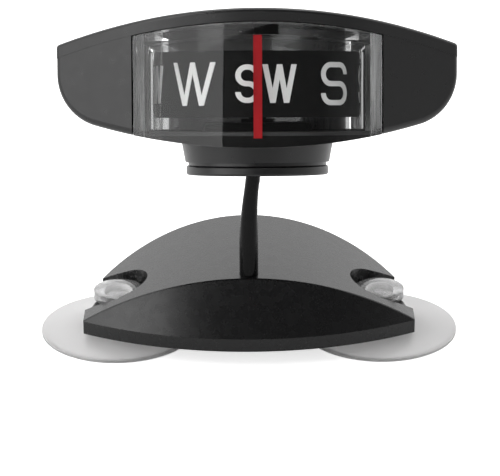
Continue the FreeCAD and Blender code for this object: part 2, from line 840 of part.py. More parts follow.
def swivel_collar(block):
    """Round collar that turns on the hub and carries the head."""
    bore = s.hub_reach + s.running_gap
    low = s.disc_thick + s.running_gap
    flange_top = s.hub_flange_low - s.washer_thick - s.running_gap
    outline = [
        (bore, low),
        (s.collar_groove_reach, low),
        (s.collar_groove_reach, s.collar_groove_top),
        (s.collar_low_reach, s.collar_groove_top),
        (s.collar_high_reach, s.collar_high),
        (s.collar_recess_reach, s.collar_high),
        (s.collar_recess_reach, flange_top),
        (bore, flange_top),
    ]
    seat_reach = s.screw_head_reach + s.running_gap
    hole_reach = s.screw_reach + s.running_gap
    seat_top = s.collar_screw_head + s.screw_head_height
    through = s.collar_high + s.overrun
    tools = [block]
    screws = []
    for index, (x, y) in enumerate(collar_screw_places()):
        tools.append(cylinder(f"collar_seat_{index}", seat_reach, ZERO, seat_top, x, y))
        tools.append(cylinder(f"collar_hole_{index}", hole_reach, ZERO, through, x, y))
        head = (s.screw_reach, s.screw_head_reach, s.screw_head_height)
        screws.append(screw(f"collar_screw_{index}", x, y, s.collar_screw_head, *head, s.collar_screw_tip))
    keep(cut("collar_cut", turned("collar_ring", outline), *tools), "swivel_collar", HEAD_FRAME)
    keep(group("collar_screw_set", screws), "collar_screws", HEAD_FRAME)


# Head: housing, cover, capsule and lens


def head_plan(inset):
    """The head seen from above: curved front, two straight wings and a round rear."""
    slope = (s.wing_end_y - s.wing_inner_y) / (s.head_half_width - s.wing_inner_x)
    run = math.hypot(1, slope)
    reach = s.wing_inner_x * run / slope - inset
    centre_y = s.wing_inner_y + s.wing_inner_x / slope
    x, y = reach * slope / run, centre_y - reach / run
    full_rear = arch_radius(s.head_half_width, s.head_rear_y - s.head_rear_start_y)
    rear = full_rear - inset
    rear_centre_y = s.head_rear_y - full_rear
    along = (x + (y - rear_centre_y) * slope) / run
    left = x * x + (y - rear_centre_y) ** 2 - rear * rear
    way = (math.sqrt(along * along - left) - along) / run
    tip_x, tip_y = x + way, y + way * slope
    edges = [
        arc_edge((-x, y, 0), (0, centre_y - reach, 0), (x, y, 0)),
        line((x, y, 0), (tip_x, tip_y, 0)),
        arc_edge((tip_x, tip_y, 0), (0, rear_centre_y + rear, 0), (-tip_x, tip_y, 0)),
        line((-tip_x, tip_y, 0), (-x, y, 0)),
    ]
    return Part.Face(Part.Wire(edges)).extrude(Vector(0, 0, s.cover_peak + s.overrun))


def head_outline(inset):
    """The head seen from the front: bowed bottom, round lower corners, upright sides."""
    half = s.head_half_width - inset
    bottom = s.head_bottom + inset
    bow = s.head_bottom_bow_radius - inset
    corner = s.head_corner_radius - inset
    corner_x = half - corner
    corner_z = bottom + bow - math.sqrt((bow - corner) ** 2 - corner_x**2)
    share = corner / (bow - corner)
    meet_x = corner_x + corner_x * share
    meet_z = corner_z - (bottom + bow - corner_z) * share
    turn = math.atan2(meet_z - corner_z, meet_x - corner_x) / 2
    middle_x, middle_z = corner_x + corner * math.cos(turn), corner_z + corner * math.sin(turn)
    top = s.cover_peak + s.overrun
    y = -FAR
    edges = [
        arc_edge((-meet_x, y, meet_z), (0, y, bottom), (meet_x, y, meet_z)),
        arc_edge((meet_x, y, meet_z), (middle_x, y, middle_z), (half, y, corner_z)),
        line((half, y, corner_z), (half, y, top)),
        line((half, y, top), (-half, y, top)),
        line((-half, y, top), (-half, y, corner_z)),
        arc_edge((-half, y, corner_z), (-middle_x, y, middle_z), (-meet_x, y, meet_z)),
    ]
    return Part.Face(Part.Wire(edges)).extrude(Vector(0, 2 * FAR, 0))


def parting_arch(inset):
    """Everything under the line where the cover meets the housing."""
    return arch(s.head_half_width, s.parting_end_drop, s.parting_peak, inset)


def cover_arch(inset):
    """Everything under the top of the cover."""
    return arch(s.head_half_width, s.cover_end_drop, s.cover_peak, inset)


def parting_height(x):
    """Height of the parting line away from the middle."""
    return arch_height(s.head_half_width, s.parting_end_drop, s.parting_peak, x)


def head_form(inset):
    """Solid of the whole head, drawn in by a wall where it is hollow."""
    return head_plan(inset).common(head_outline(inset))


def wing_border(edge):
    """True for the lower and outer borders of the wings."""
    slope = (s.wing_end_y - s.wing_inner_y) / (s.head_half_width - s.wing_inner_x)
    middle = edge.valueAt((edge.FirstParameter + edge.LastParameter) / 2)
    wing_y = s.wing_inner_y + slope * (abs(middle.x) - s.wing_inner_x)
    outward = abs(middle.x) > s.wing_inner_x + s.overrun
    return outward and abs(middle.y - wing_y) < s.running_gap and middle.z < s.cover_peak


def upright(reach, low, high, x=0, y=0):
    """Upright cylinder shape for cutting and joining."""
    return Part.makeCylinder(reach, high - low, Vector(x, y, low))


def rear_wall_y(x):
    """Outside of the rear wall at a distance from the middle."""
    return arch_height(s.head_half_width, s.head_rear_y - s.head_rear_start_y, s.head_rear_y, x)


def cover_screw_places():
    """Place and head height of each cover screw."""
    side_x = s.head_half_width - s.side_post_inset
    rear_y = rear_wall_y(s.rear_post_x) - s.rear_post_inset
    places = []
    for side in (-1, 1):
        places.append((side * side_x, s.side_post_y, s.side_screw_height))
        places.append((side * s.rear_post_x, rear_y, s.rear_screw_height))
    return places


def rotor_place():
    """Middle of a rotor between the bowl and the side wall, and the rotor's back."""
    bowl_side = s.bowl_reach + s.bowl_wall
    x = (bowl_side + s.head_half_width - s.head_wall) / 2
    return x, rear_wall_y(x) - s.rotor_recess


def lens_window():
    """Space of the lens between the wings."""
    half = s.lens_half_width + s.lens_wing_gap
    corner = Vector(-half, -FAR, 0)
    return Part.makeBox(2 * half, FAR + s.lens_back_y, s.cover_peak + s.overrun, corner)


def body_shell():
    """Winged housing around the capsule, with posts for the cover and two rotor bosses."""
    top = s.cover_peak + s.overrun
    outer = head_form(0)
    outer = outer.makeFillet(s.wing_edge_round, [edge for edge in outer.Edges if wing_border(edge)])
    inside = [upright(s.post_reach, 0, top, x, y) for x, y, _ in cover_screw_places()]
    bores = []
    rotor_x, rotor_back = rotor_place()
    for side in (-1, 1):
        boss = s.rotor_reach + s.running_gap + s.rotor_boss_wall
        start = Vector(side * rotor_x, rotor_back - s.rotor_boss_length, s.rotor_height)
        inside.append(Part.makeCylinder(boss, FAR, start, Vector(0, 1, 0)))
        bores.append(Part.makeCylinder(s.rotor_reach + s.running_gap, FAR, start, Vector(0, 1, 0)))
    for x, y, head_low in cover_screw_places():
        seat_top = head_low + s.big_screw_head_height
        bores.append(upright(s.big_screw_head_reach + s.running_gap, 0, seat_top, x, y))
        bores.append(upright(s.big_screw_reach + s.running_gap, 0, top, x, y))
    shell = outer.cut(head_form(s.head_wall)).fuse([piece.common(outer) for piece in inside])
    opening = upright(s.bowl_reach + s.bowl_wall + s.seat_gap, 0, top)
    shell = shell.cut([lens_window(), opening, *bores]).common(parting_arch(0))
    keep_shape("body_shell", solid_of(shell), HEAD_FRAME)


def top_cover():
    """Arched cover that ends in a rounded edge over wings and lens."""
    half = s.head_half_width + s.cover_overhang
    top = s.cover_peak + s.overrun
    sides = Part.makeBox(2 * half, 2 * FAR, top, Vector(-half, -FAR, 0))
    form = head_plan(-s.cover_overhang).common(sides)
    upright_edges = [e for e in form.Edges if e.Length > top / 2]
    corners = [e for e in upright_edges if abs(abs(e.CenterOfMass.x) - half) < s.running_gap]
    form = form.makeFillet(s.cover_corner_round, corners).common(cover_arch(0))
    rim = [e for e in form.Edges if e.BoundBox.ZMin > s.cover_peak / 2]
    form = form.makeFillet(s.cover_edge_round, rim).cut(parting_arch(0))
    pocket = upright(s.cover_pocket_reach, 0, top).common(cover_arch(s.cover_skin))
    cuts = [pocket]
    for x, y, _ in cover_screw_places():
        tip = parting_height(x) + s.cover_screw_bite
        cuts.append(upright(s.big_screw_reach + s.running_gap, 0, tip, x, y))
    keep_shape("top_cover", solid_of(form.cut(cuts)), HEAD_FRAME)


def cover_screws():
    """Screws that hold the cover from below."""
    screws = []
    for index, (x, y, head_low) in enumerate(cover_screw_places()):
        head = (s.big_screw_reach, s.big_screw_head_reach, s.big_screw_head_height)
        tip = parting_height(x) + s.cover_screw_bite
        screws.append(screw(f"cover_screw_{index}", x, y, head_low, *head, tip))
    keep(group("cover_screw_set", screws), "cover_screws", HEAD_FRAME)


def capsule_bowl():
    """Clear bowl that is one piece with the thick lens block in front."""
    top = s.cover_peak + s.overrun
    reach = s.bowl_reach + s.bowl_wall
    lens_corner = Vector(-s.lens_half_width, -FAR, 0)
    block = Part.makeBox(2 * s.lens_half_width, FAR + s.lens_back_y, top, lens_corner)
    block = block.common(head_plan(0))
    upright_edges = [e for e in block.Edges if e.Length > top / 2]
    fronts = [e for e in upright_edges if e.CenterOfMass.y < s.lens_back_y - s.overrun]
    block = block.makeFillet(s.lens_edge_round, fronts)
    flange = Part.makeBox(
        2 * s.flange_half_width,
        s.lens_back_y - s.flange_front_y,
        s.flange_high_height - s.flange_low_height,
        Vector(-s.flange_half_width, s.flange_front_y, s.flange_low_height),
    )
    flange = flange.common(head_plan(s.head_wall + s.seat_gap))
    bowl = block.fuse([upright(reach, 0, top), flange])
    bowl = bowl.common(head_outline(0)).common(parting_arch(s.lens_top_gap))
    cavity = upright(s.bowl_reach, 0, top).common(parting_arch(s.bowl_top_wall))
    groove = Part.makeBox(
        s.lubber_width,
        s.lubber_thick + s.running_gap,
        LUBBER_TOP - s.lubber_low,
        Vector(-s.lubber_width / 2, -s.bowl_reach - s.lubber_thick, s.lubber_low),
    )
    hole = upright(s.plug_shank_reach, 0, top, s.plug_x, s.plug_y)
    keep_shape("capsule_bowl", solid_of(bowl.cut([cavity, groove, hole])), HEAD_FRAME)


LUBBER_TOP = s.parting_peak - s.bowl_top_wall - s.seat_gap


def lubber_line():
    """Red strip let into the front wall of the bowl."""
    low = (-s.lubber_width / 2, -s.bowl_reach - s.lubber_thick, s.lubber_low)
    high = (s.lubber_width / 2, -s.bowl_reach, LUBBER_TOP)
    keep(box("lubber_strip", low, high), "lubber_line", HEAD_FRAME, *low)


def fill_plug():
    """Black plug that closes the filling hole in the top of the bowl."""
    head_low = s.parting_peak - s.lens_top_gap
    shank_low = head_low + s.lens_top_gap - s.bowl_top_wall
    edge = s.plug_round * QUARTER_SHARE
    head_high = head_low + s.plug_head_thick
    rim = s.plug_head_reach - s.plug_round
    outline = [
        (ZERO, shank_low),
        (s.plug_shank_reach, shank_low),
        (s.plug_shank_reach, head_low),
        (s.plug_head_reach, head_low),
        (s.plug_head_reach, head_high - s.plug_round),
        (rim, head_high, s.plug_head_reach - edge, head_high - edge),
        (ZERO, head_high),
    ]
    keep(turned("plug_blank", outline), "fill_plug", HEAD_FRAME, x=s.plug_x, y=s.plug_y)


def floor_edge():
    """Reach of the floor in the mouth of the bowl."""
    return s.bowl_reach - 2 * s.running_gap


def capsule_floor(block):
    """Black floor of the capsule, shaped to the bowed underside of the head."""
    edge = floor_edge()
    shoulder = s.bowl_floor_height - s.gasket_thick
    rim = cylinder("floor_rim", edge, ZERO, shoulder)
    step = cylinder("floor_step", edge - s.floor_rim_step, shoulder, s.bowl_floor_height)
    dome_reaches = (s.floor_dome_reach, s.floor_dome_top_reach)
    dome = cone("floor_dome", *dome_reaches, s.bowl_floor_height, s.floor_dome_height)
    blank = fuse("floor_blank", rim, step, dome)
    pocket_top = s.diaphragm_ring_low + s.diaphragm_ring_thick + s.diaphragm_thick
    pocket_reach = s.diaphragm_reach + s.running_gap
    port_reach = s.diaphragm_port_reach
    hole_reach = s.screw_reach + s.running_gap
    tools = [
        cylinder("floor_recess", s.floor_hub_reach, ZERO, s.floor_hub_height),
        cylinder("diaphragm_pocket", pocket_reach, ZERO, pocket_top, ZERO, s.diaphragm_y),
        cylinder("diaphragm_port", port_reach, ZERO, s.floor_dome_height, ZERO, s.diaphragm_y),
    ]
    for index, (x, y) in enumerate(collar_screw_places()):
        tools.append(cylinder(f"floor_hole_{index}", hole_reach, ZERO, s.collar_screw_tip, x, y))
    keep(cut("floor_cut", common("floor_shaped", blank, block), *tools), "capsule_floor", HEAD_FRAME)


def collar_screw_places():
    """Screws between the collar and the floor."""
    return circle_places(s.collar_screw_count, s.collar_screw_circle, s.collar_screw_turn)


def floor_gasket():
    """Rubber ring between the floor and the bowl."""
    low = s.bowl_floor_height - s.gasket_thick
    bore_reach = floor_edge() - s.floor_rim_step + s.running_gap
    ring = cylinder("gasket_ring", s.bowl_reach - s.running_gap, low, s.bowl_floor_height)
    bore = cylinder("gasket_bore", bore_reach, low, s.bowl_floor_height)
    keep(cut("gasket_cut", ring, bore), "floor_gasket", HEAD_FRAME)


def diaphragm_set():
    """Thin disc that gives way as the liquid grows, and the ring that holds it."""
    low = s.diaphragm_ring_low
    high = low + s.diaphragm_ring_thick
    disc = cylinder("diaphragm_disc", s.diaphragm_reach, high, high + s.diaphragm_thick)
    keep(disc, "expansion_diaphragm", HEAD_FRAME, y=s.diaphragm_y, z=high)
    ring = cylinder("diaphragm_ring_blank", s.diaphragm_reach, low, high, ZERO, s.diaphragm_y)
    bore = cylinder("diaphragm_ring_bore", s.diaphragm_port_reach, low, high, ZERO, s.diaphragm_y)
    keep(cut("diaphragm_ring_cut", ring, bore), "diaphragm_ring", HEAD_FRAME)


def pivot():
    """Post on the floor and the pointed pin that carries the card."""
    low = s.floor_dome_height
    foot = cylinder("post_foot", s.post_foot_reach, low, low + s.post_foot_thick)
    stem = cylinder("post_stem", s.post_top_reach, low, s.post_high)
    hole = cylinder("post_hole", s.pin_reach, s.pin_low, s.post_high)
    keep(cut("post_cut", fuse("post_blank", foot, stem), hole), "pivot_post", HEAD_FRAME)
    cone_low = s.pin_point_high - s.pin_cone
    rod = cylinder("pin_rod", s.pin_reach, s.pin_low, cone_low)
    tip = cone("pin_tip", s.pin_reach, ZERO, cone_low, s.pin_point_high)
    keep(fuse("pin_whole", rod, tip), "pivot_pin", HEAD_FRAME)


# Card: drum, letters, jewel and magnets


def spider_low():
    """Underside of the plate inside the drum."""
    return s.card_high - s.card_spider_drop - s.card_spider_thick


def card_drum():
    """Light drum with an inner plate, a hub for the jewel and four openings."""
    plate_top = s.card_high - s.card_spider_drop
    inner = s.card_reach - s.card_skin
    tube = cut(
        "drum_tube",
        cylinder("drum_outer", s.card_reach, s.card_low, s.card_high),
        cylinder("drum_inner", inner, s.card_low, s.card_high),
    )
    plate = cylinder("drum_plate", inner, spider_low(), plate_top)
    hub = cylinder("drum_hub", s.card_hub_reach, s.card_hub_low, spider_low())
    tools = [cylinder("drum_jewel_hole", s.jewel_reach, s.card_hub_low, spider_low())]
    for index, (x, y) in enumerate(circle_places(s.card_window_count, s.card_window_circle)):
        tools.append(cylinder(f"drum_window_{index}", s.card_window_reach, spider_low(), plate_top, x, y))
    keep(cut("drum_cut", fuse("drum_blank", tube, plate, hub), *tools), "card_drum", HEAD_FRAME)


def jewel_cup():
    """Hard cup with a hollow cone that turns on the pin's point."""
    blank = cylinder("jewel_blank", s.jewel_reach, s.jewel_low, spider_low())
    top = s.pin_point_high + 2 * s.running_gap
    hollow = cone("jewel_hollow", s.jewel_mouth_reach, ZERO, s.jewel_low, top)
    keep(cut("jewel_cut", blank, hollow), "jewel_cup", HEAD_FRAME)


def card_magnets():
    """Two bar magnets side by side under the drum's plate."""
    bars = []
    for index, side in enumerate((-1, 1)):
        middle = side * s.magnet_half_gap
        low = (-s.magnet_length / 2, middle - s.magnet_width / 2, spider_low() - s.magnet_height)
        high = (s.magnet_length / 2, middle + s.magnet_width / 2, spider_low())
        bars.append(box(f"magnet_bar_{index}", low, high))
    keep(group("magnet_pair", bars), "card_magnets", HEAD_FRAME)


HEADINGS = ("N", "NE", "E", "SE", "S", "SW", "W", "NW")
BIG_WIDTH_SHARES = {"N": 0.95, "E": 0.8, "S": 0.84, "W": 1.18}
SMALL_WIDTH_SHARES = {"N": 0.6, "E": 0.5, "S": 0.6, "W": 0.88}
W_INNER_SHARE = 0.3


def slab(points):
    """Flat shape between points of width and height, as deep as the letters' cutter."""
    corners = [Vector(x, 0, z) for x, z in points]
    wire = Part.makePolygon([*corners, corners[0]])
    return Part.Face(wire).extrude(Vector(0, s.card_skin + s.overrun, 0))


def bar(left, low, right, high):
    """Upright or level stroke of a letter."""
    return slab([(left, low), (right, low), (right, high), (left, high)])


def stroke(bottom_x, top_x, height):
    """Slanted stroke of a letter that runs from its bottom to its top."""
    half = s.letter_stroke / 2 * math.hypot(1, (top_x - bottom_x) / height)
    return slab([(bottom_x - half, 0), (bottom_x + half, 0), (top_x + half, height), (top_x - half, height)])


def bend(x, z, reach, sides):
    """Part of a ring stroke that lies on the given sides of its centre."""
    depth = s.card_skin + s.overrun
    centre = Vector(x, 0, z)
    ring = Part.makeCylinder(reach, depth, centre, Vector(0, 1, 0))
    ring = ring.cut(Part.makeCylinder(reach - s.letter_stroke, depth, centre, Vector(0, 1, 0)))
    left, low, right, high = sides
    return ring.common(bar(x - left * reach, z - low * reach, x + right * reach, z + high * reach))


def letter_strokes(letter, width, height):
    """The strokes of one letter, its lower left corner at zero."""
    thick = s.letter_stroke
    if letter == "N":
        lean = thick / 2 * math.hypot(1, width / height)
        sides = [bar(0, 0, thick, height), bar(width - thick, 0, width, height)]
        return [*sides, stroke(width - lean, lean, height)]
    if letter == "E":
        middle = (height - thick) / 2
        rows = [bar(0, low, width, low + thick) for low in (0, height - thick)]
        return [bar(0, 0, thick, height), bar(0, middle, width - thick / 2, middle + thick), *rows]
    if letter == "W":
        inner = width * W_INNER_SHARE
        edge = thick / 2
        return [
            stroke(inner, edge, height),
            stroke(inner, width / 2, height),
            stroke(width - inner, width / 2, height),
            stroke(width - inner, width - edge, height),
        ]
    reach = (height + thick) / 4
    right = width - reach
    middle = (height - thick) / 2
    rows = [bar(reach, low, right, low + thick) for low in (0, middle, height - thick)]
    bends = [
        bend(reach, height - reach, reach, (1, 1, 0, 1)),
        bend(right, height - reach, reach, (0, 0, 1, 1)),
        bend(right, reach, reach, (0, 1, 1, 1)),
        bend(reach, reach, reach, (1, 1, 0, 0)),
    ]
    return rows + bends


def card_lettering():
    """The eight directions, printed proud of the drum."""
    drum = upright(s.card_reach, s.card_low, s.card_high)
    tube = upright(s.card_reach + s.letter_proud, s.card_low, s.card_high).cut(drum)
    printed = []
    for index, heading in enumerate(HEADINGS):
        big = len(heading) == 1
        height = s.letter_height if big else s.small_letter_height
        shares = BIG_WIDTH_SHARES if big else SMALL_WIDTH_SHARES
        widths = [shares[letter] * height for letter in heading]
        total = sum(widths) + s.letter_gap * (len(heading) - 1)
        start = -total / 2
        turn = s.card_heading - 360 * index / len(HEADINGS)
        for letter, width in zip(heading, widths):
            shape = fused(letter_strokes(letter, width, height))
            shape.translate(Vector(start, -s.card_reach - s.overrun, s.letter_centre - height / 2))
            shape.rotate(Vector(), Vector(0, 0, 1), turn)
            printed += shape.common(tube).removeSplitter().Solids
            start += width + s.letter_gap
    keep_shape("card_lettering", Part.makeCompound(printed), HEAD_FRAME)


def fused(pieces):
    """Shapes joined into one."""
    return pieces[0].fuse(pieces[1:])


# Compensators


def compensator(side, name):
    """Slotted rotor in the back of the head, with a small magnet across it."""
    place_x, back = rotor_place()
    front = back - s.rotor_length
    x = side * place_x
    z = s.rotor_height
    blank = cylinder_along_y(f"rotor_blank_{name}", s.rotor_reach, front, back, x, z)
    low = (x - s.rotor_reach, back - s.rotor_slot_depth, z - s.rotor_slot_width / 2)
    high = (x + s.rotor_reach, back, z + s.rotor_slot_width / 2)
    slot_box = box(f"rotor_slot_{name}", low, high)
    ends = (z - s.rotor_magnet_length / 2, z + s.rotor_magnet_length / 2)
    magnet_y = front + s.rotor_magnet_back
    hole = cylinder(f"rotor_hole_{name}", s.rotor_magnet_reach, *ends, x, magnet_y)
    keep(cut(f"rotor_cut_{name}", blank, slot_box, hole), f"compensator_rotor_{name}", HEAD_FRAME)
    magnet = cylinder(f"rotor_magnet_{name}", s.rotor_magnet_reach, *ends)
    keep(magnet, f"compensator_magnet_{name}", HEAD_FRAME, x=x, y=magnet_y, z=ends[0])


SIDES = {"left": -1, "right": 1}

for side_name, side_sign in SIDES.items():
    suction_cup(f"suction_cup_{side_name}", side_sign)
base_shell()
arm()
arm_foot()
liner_half("socket_liner_lower", True)
liner_half("socket_liner_upper", False)
mount_disc()
swivel_hub()
socket_cap()
friction_washer()
head_block = helper_shape("head_block", head_outline(0))
swivel_collar(head_block)
capsule_floor(head_block)
floor_gasket()
diaphragm_set()
capsule_bowl()
lubber_line()
fill_plug()
pivot()
body_shell()
top_cover()
cover_screws()
card_drum()
card_lettering()
jewel_cup()
card_magnets()
for side_name, side_sign in SIDES.items():
    compensator(side_sign, side_name)
doc.recompute()

for thing in doc.Objects:
    if "Invalid" in thing.State or "Error" in thing.State:
        raise RuntimeError(f"{thing.Label} could not be built: {thing.State}")
for node in nodes:
    if node.Shape.isNull() or not node.Shape.isValid():
        raise RuntimeError(f"{node.Label} has no valid shape")

os.makedirs("parts", exist_ok=True)
for node in nodes:
    node.Shape.exportStep(f"parts/{node.Label}.step")
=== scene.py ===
import json
import math

import bpy
from mathutils import Matrix, Vector

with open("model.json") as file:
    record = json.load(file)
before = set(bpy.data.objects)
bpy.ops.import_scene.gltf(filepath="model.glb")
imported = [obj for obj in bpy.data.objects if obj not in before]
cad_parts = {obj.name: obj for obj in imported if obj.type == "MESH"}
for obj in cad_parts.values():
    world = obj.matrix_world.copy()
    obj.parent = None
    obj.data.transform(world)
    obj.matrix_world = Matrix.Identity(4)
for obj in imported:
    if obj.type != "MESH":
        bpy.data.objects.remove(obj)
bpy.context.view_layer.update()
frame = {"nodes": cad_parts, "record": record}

# Looks of the dashboard compass: procedural materials for every part of the frame,
# a pale floor, soft studio light and a camera where the photographer stood.
# Lengths are in metres, angles in degrees, in the same frame as the solids.

MM = 0.001
WHITE = (1, 1, 1)

# Camera

CAMERA_PLACE = (-1.3 * MM, -541.02 * MM, 262.85 * MM)
CAMERA_AIM = (0.32 * MM, -18.11 * MM, 36.0 * MM)
CAMERA_ROLL = -0.2
SENSOR_WIDTH_MM = 36.0
LENS_MM = 152.32
NEAREST_SEEN = 10 * MM
FARTHEST_SEEN = 100


def make_camera():
    """Camera at the photo's angle."""
    data = bpy.data.cameras.new("camera")
    data.sensor_width = SENSOR_WIDTH_MM
    data.lens = LENS_MM
    data.clip_start = NEAREST_SEEN
    data.clip_end = FARTHEST_SEEN
    camera = bpy.data.objects.new("camera", data)
    camera.location = CAMERA_PLACE
    way = Vector(CAMERA_AIM) - Vector(CAMERA_PLACE)
    roll = Matrix.Rotation(math.radians(CAMERA_ROLL), 3, "Z")
    turn = way.to_track_quat("-Z", "Y").to_matrix() @ roll
    camera.rotation_euler = turn.to_euler()
    bpy.context.scene.collection.objects.link(camera)
    bpy.context.scene.camera = camera


# Node helpers

# Nearly all values of a noise lie between these two
NOISE_LOW = 0.3
NOISE_HIGH = 0.7


def named_socket(sockets, name, kind):
    """The socket of that name that carries that kind of value."""
    return next(socket for socket in sockets if socket.name == name and socket.type == kind)


class Nodes:
    """A node tree, with short ways to add nodes."""

    def __init__(self, tree):
        self.tree = tree

    def node(self, kind, **settings):
        """Adds a node."""
        made = self.tree.nodes.new(kind)
        for name, value in settings.items():
            setattr(made, name, value)
        return made

    def feed(self, source, socket):
        """Links another node's output to a socket, or sets a number or colour there."""
        if isinstance(source, bpy.types.NodeSocket):
            self.tree.links.new(source, socket)
        elif socket.type == "RGBA":
            socket.default_value = (*source, 1)
        else:
            socket.default_value = source

    def maths(self, operation, *values):
        """Works one number out of others."""
        made = self.node("ShaderNodeMath", operation=operation)
        for value, socket in zip(values, made.inputs):
            self.feed(value, socket)
        return made.outputs[0]

    def range(self, source, start, end, low, high, **settings):
        """Maps one range of a value to another."""
        made = self.node("ShaderNodeMapRange", **settings)
        names = ("Value", "From Min", "From Max", "To Min", "To Max")
        for name, value in zip(names, (source, start, end, low, high)):
            self.feed(value, made.inputs[name])
        return made.outputs["Result"]

    def mix(self, share, first, second, data_type="FLOAT", kind="VALUE"):
        """Mixes two numbers, or two values of another kind."""
        made = self.node("ShaderNodeMix", data_type=data_type)
        self.feed(share, made.inputs["Factor"])
        self.feed(first, named_socket(made.inputs, "A", kind))
        self.feed(second, named_socket(made.inputs, "B", kind))
        return named_socket(made.outputs, "Result", kind)

    def blend(self, share, first, second):
        """Mixes two colours."""
        return self.mix(share, first, second, "RGBA", "RGBA")


class Recipe(Nodes):
    """One material, made of noises in real sizes."""

    def __init__(self, name):
        self.material = bpy.data.materials.new(name)
        self.material.use_nodes = True
        super().__init__(self.material.node_tree)
        self.shader = next(n for n in self.tree.nodes if n.type == "BSDF_PRINCIPLED")
        self.place = self.node("ShaderNodeTexCoord").outputs["Object"]

    def set(self, name, source):
        """Sets a socket of the shader, or links it where the value changes over the surface."""
        self.feed(source, self.shader.inputs[name])

    def noise(self, size, detail, stretch=None, lean=0.0):
        """Noise whose blotches are about that size, and longer along the stretched axes."""
        made = self.node("ShaderNodeTexNoise")
        made.inputs["Scale"].default_value = 1 / size
        made.inputs["Detail"].default_value = detail
        place = self.place
        if stretch:
            squeeze = self.node("ShaderNodeMapping", vector_type="TEXTURE")
            squeeze.inputs["Rotation"].default_value = (-lean, 0, 0)
            squeeze.inputs["Scale"].default_value = stretch
            self.feed(place, squeeze.inputs["Vector"])
            place = squeeze.outputs["Vector"]
        self.feed(place, made.inputs["Vector"])
        return made.outputs["Fac"]

    def spread(self, noise, low, high):
        """Maps a noise to a range."""
        return self.range(noise, NOISE_LOW, NOISE_HIGH, low, high)

    def let_lamps_through(self, share=1.0):
        """Lets a share of the lamps' light pass to what stands behind or inside."""
        paths = self.node("ShaderNodeLightPath")
        open_way = self.node("ShaderNodeBsdfTransparent")
        self.feed((share, share, share), open_way.inputs["Color"])
        either = self.node("ShaderNodeMixShader")
        self.feed(paths.outputs["Is Shadow Ray"], either.inputs["Fac"])
        self.feed(self.shader.outputs["BSDF"], either.inputs[1])
        self.feed(open_way.outputs["BSDF"], either.inputs[2])
        output = next(n for n in self.tree.nodes if n.type == "OUTPUT_MATERIAL")
        self.feed(either.outputs["Shader"], output.inputs["Surface"])

    def bumps(self, *layers):
        """Relief from noise; each layer is a height source and a depth in metres."""
        normal = None
        for height, depth in layers:
            made = self.node("ShaderNodeBump")
            made.inputs["Strength"].default_value = 1
            made.inputs["Distance"].default_value = depth
            self.feed(height, made.inputs["Height"])
            if normal:
                self.feed(normal, made.inputs["Normal"])
            normal = made.outputs["Normal"]
        self.set("Normal", normal)


def tint(colour, share):
    """A colour made lighter or darker."""
    return tuple(channel * share for channel in colour)


# Moulded plastic, rubber and print

# Clouds in the colour, patches of another gloss, and waves from cooling in the mould
CLOUD_SIZE = 9 * MM
PATCH_SIZE = 2.5 * MM
WAVE_SIZE = 14 * MM
WAVE_DEPTH = 0.012 * MM
# Roughness of the smoothest and the roughest patches, as shares of what is usual
PATCH_SMOOTHEST = 0.9
PATCH_ROUGHEST = 1.12
# Refraction of plastic in air, of a softer gloss for the arm,
# and of plastic that lies in the liquid or in clear plastic, against what is around it
PLASTIC_IOR = 1.5
ARM_IOR = 1.22
WET_IOR = 1.07
# How far the colour strays from its mean, as a share
MOTTLE = 0.25

MOULDED = {
    # name: colour, roughness, grain size, grain depth, mottling, refraction
    "housing": ((0.005, 0.005, 0.0053), 0.3, 0.35 * MM, 0.006 * MM, MOTTLE, PLASTIC_IOR),
    "base_plastic": ((0.005, 0.005, 0.0053), 0.27, 0.4 * MM, 0.002 * MM, MOTTLE, PLASTIC_IOR),
    "arm_plastic": ((0.004, 0.004, 0.004), 0.16, 0.6 * MM, 0.004 * MM, MOTTLE, ARM_IOR),
    "inner_black": ((0.006, 0.006, 0.006), 0.45, 0.3 * MM, 0.006 * MM, MOTTLE, WET_IOR),
    "card_black": ((0.006, 0.006, 0.006), 0.5, 0.25 * MM, 0.004 * MM, MOTTLE, WET_IOR),
    "print_white": ((0.76, 0.76, 0.75), 0.5, 0.2 * MM, 0.003 * MM, 0.04, WET_IOR),
    "strip_red": ((0.60, 0.026, 0.034), 0.35, 0.3 * MM, 0.003 * MM, 0.12, WET_IOR),
    "acetal": ((0.06, 0.06, 0.06), 0.4, 0.3 * MM, 0.005 * MM, MOTTLE, PLASTIC_IOR),
    "nylon": ((0.62, 0.60, 0.54), 0.42, 0.3 * MM, 0.004 * MM, 0.06, PLASTIC_IOR),
    "rubber": ((0.02, 0.02, 0.02), 0.7, 0.2 * MM, 0.01 * MM, MOTTLE, PLASTIC_IOR),
    "jewel": ((0.30, 0.03, 0.07), 0.08, 0.5 * MM, 0.001 * MM, MOTTLE, PLASTIC_IOR),
}


def moulded_plastic(name, colour, rough, grain_size, grain_depth, mottle, ior):
    """Plastic with a fine moulded grain, faint mottling and soft waves from cooling."""
    recipe = Recipe(name)
    clouds = recipe.noise(CLOUD_SIZE, detail=4)
    recipe.set("Base Color", recipe.blend(clouds, tint(colour, 1 - mottle), tint(colour, 1 + mottle)))
    patches = recipe.noise(PATCH_SIZE, detail=5)
    recipe.set("Roughness", recipe.spread(patches, rough * PATCH_SMOOTHEST, rough * PATCH_ROUGHEST))
    waves = recipe.noise(WAVE_SIZE, detail=1)
    grain = recipe.noise(grain_size, detail=2)
    recipe.bumps((waves, WAVE_DEPTH), (grain, grain_depth))
    recipe.set("IOR", ior)
    return recipe.material


# Clear block of the bowl

# Refraction of the clear plastic in air, and of the liquid that it meets inside
ACRYLIC_IOR = 1.49
LIQUID_IOR = 1.4
